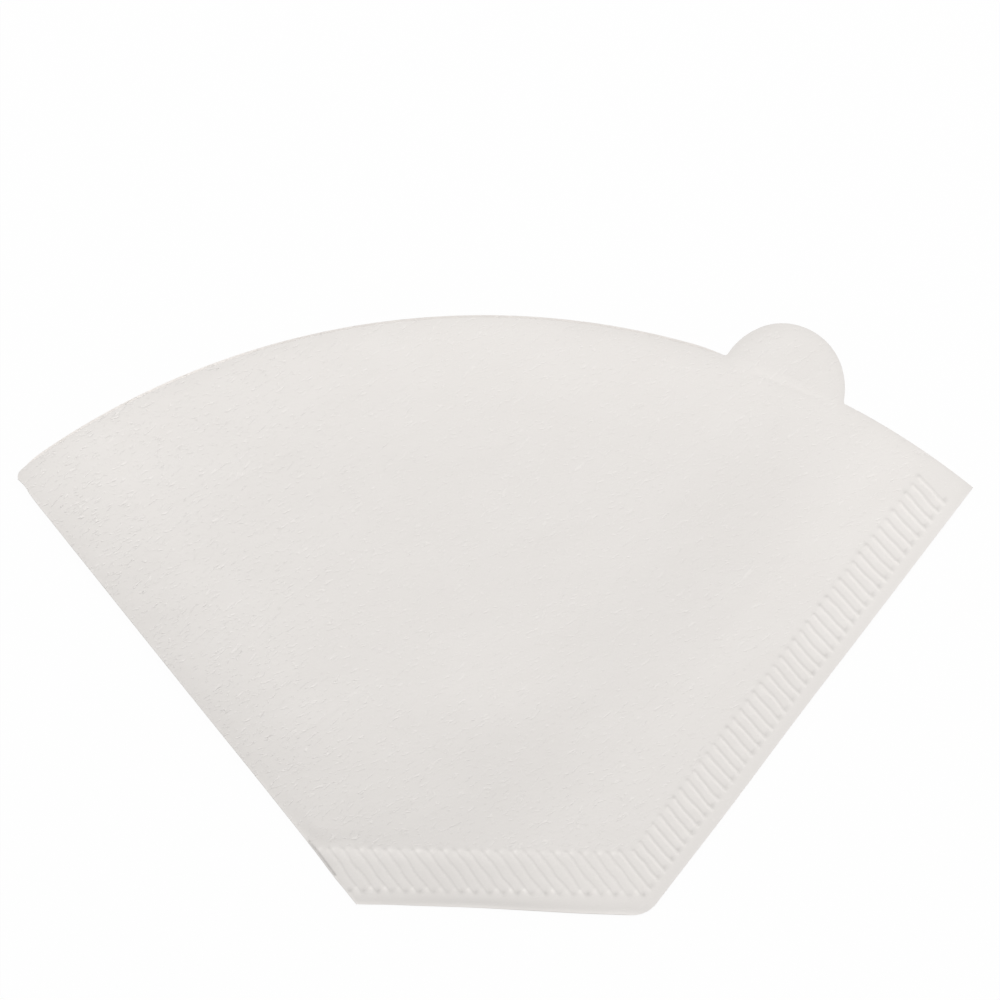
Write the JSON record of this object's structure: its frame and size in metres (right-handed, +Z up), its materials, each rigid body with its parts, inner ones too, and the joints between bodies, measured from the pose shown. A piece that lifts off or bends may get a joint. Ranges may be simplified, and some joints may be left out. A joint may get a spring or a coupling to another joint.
{
  "type": "paper coffee filter",
  "caption": "Fan-shaped cone filter of white creped paper, folded flat, with crimped side and base seams, an open curved mouth and a round pull tab, for drip coffee",
  "frame": {"origin": "the middle of the outline's box in plan, on the plane that the back ply lies on", "axes": "+X from the folded side to the crimped side seam, +Y from the crimped base to the open mouth, +Z up from the back ply through the thickness"},
  "size_m": [0.165, 0.1036, 0.0023],
  "materials": {
    "filter_paper": "matt bleached white crepe paper"
  },
  "bodies": {
    "root": {"filter": "filter_paper"}
  },
  "joints": []
}
